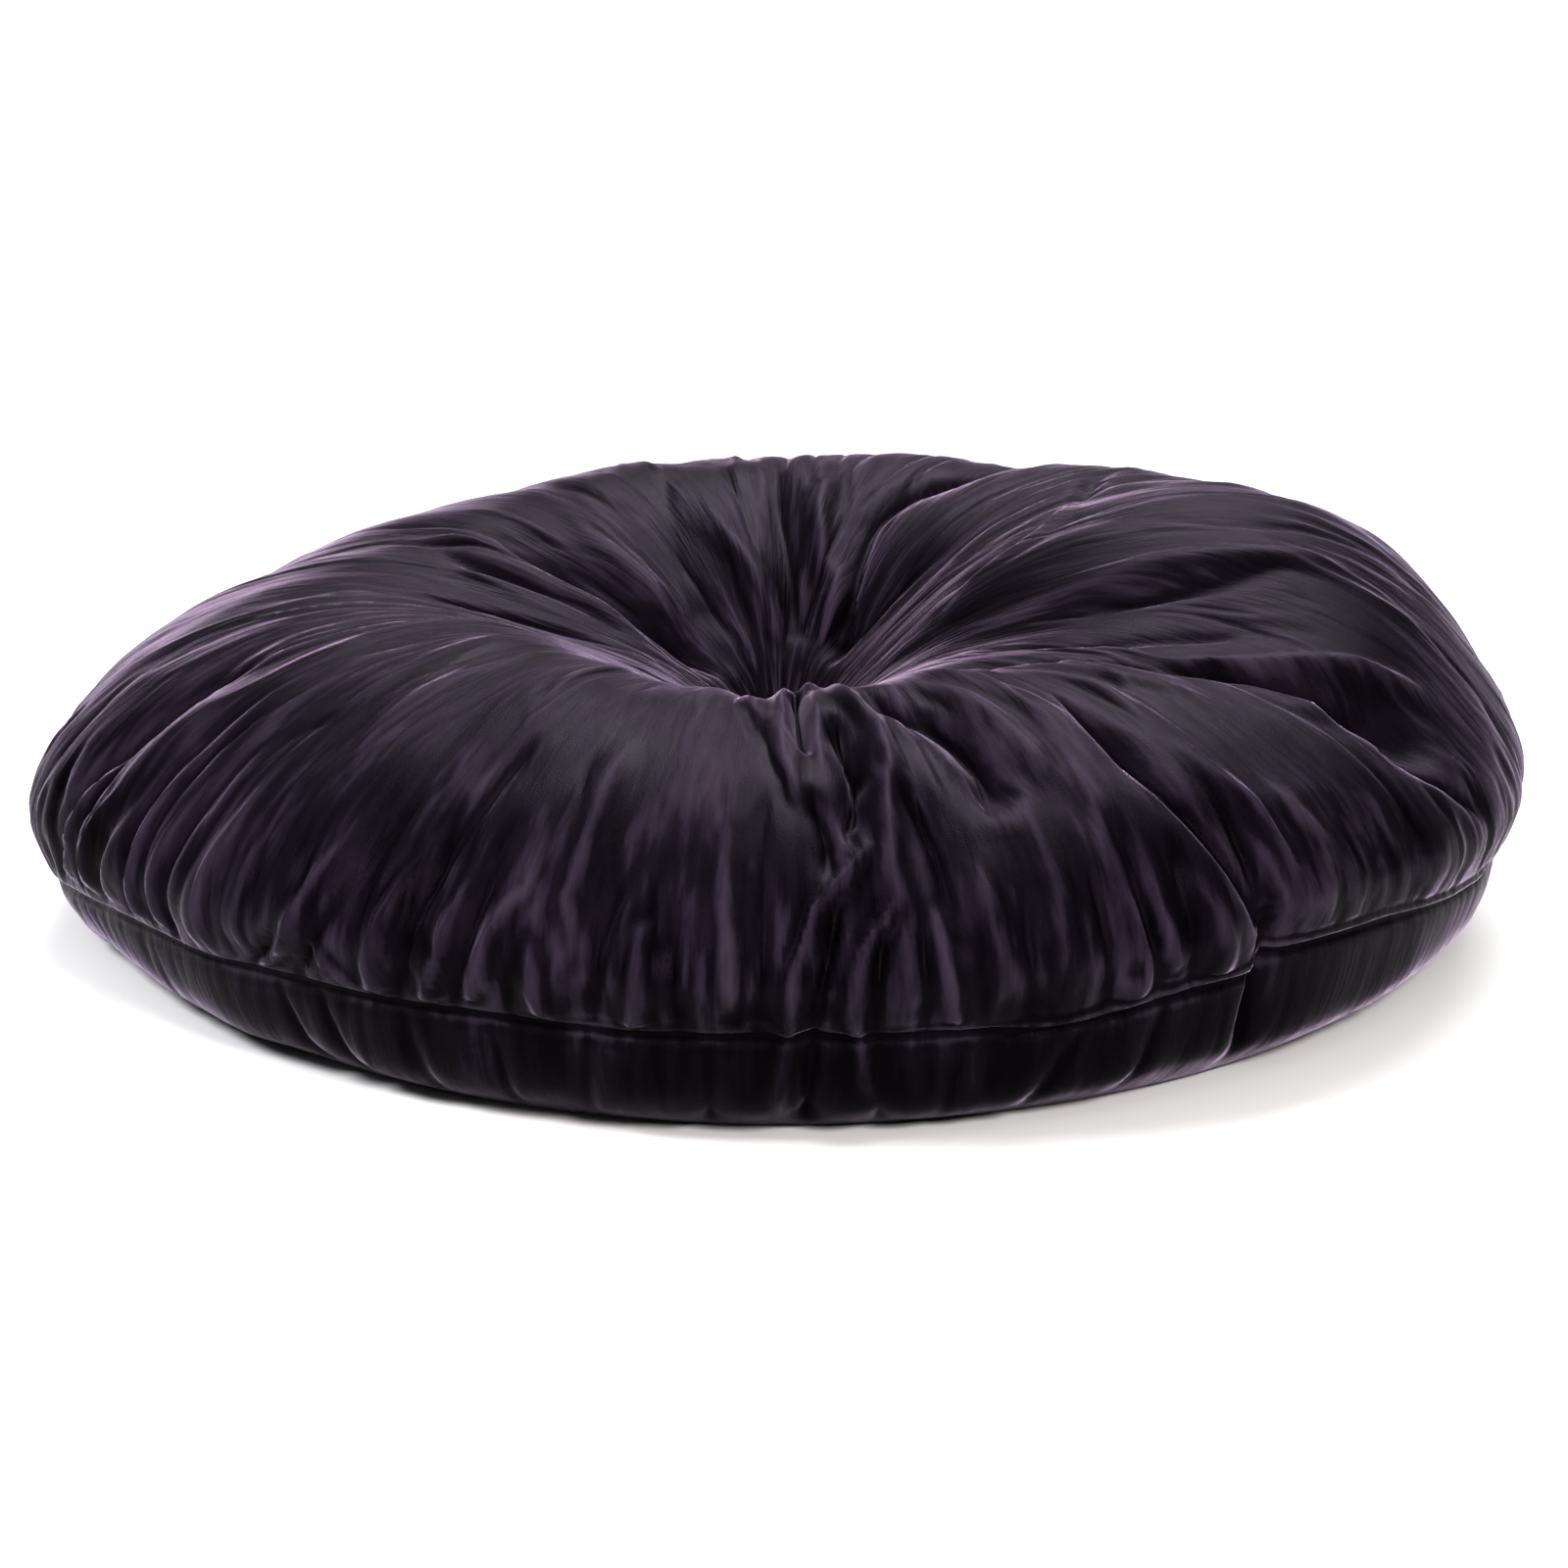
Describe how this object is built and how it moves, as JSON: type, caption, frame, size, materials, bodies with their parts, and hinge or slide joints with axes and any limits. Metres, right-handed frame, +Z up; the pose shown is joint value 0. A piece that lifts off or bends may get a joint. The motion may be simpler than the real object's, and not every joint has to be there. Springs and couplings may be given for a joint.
{
  "type": "round floor cushion",
  "caption": "Round filled velvet floor cushion with a stitched tuft in the middle of its upper face and a seam low on its side.",
  "frame": {"origin": "on the floor under the tuft, which is the middle of the cushion", "axes": "+Z up out of the tufted upper face, -Y towards the front as pictured, +X to its right"},
  "size_m": [0.8062, 0.8139, 0.2196],
  "materials": {
    "velvet": "dark aubergine cut-pile velvet with a soft grey-violet sheen"
  },
  "bodies": {
    "root": {"cushion": "velvet"}
  },
  "joints": []
}
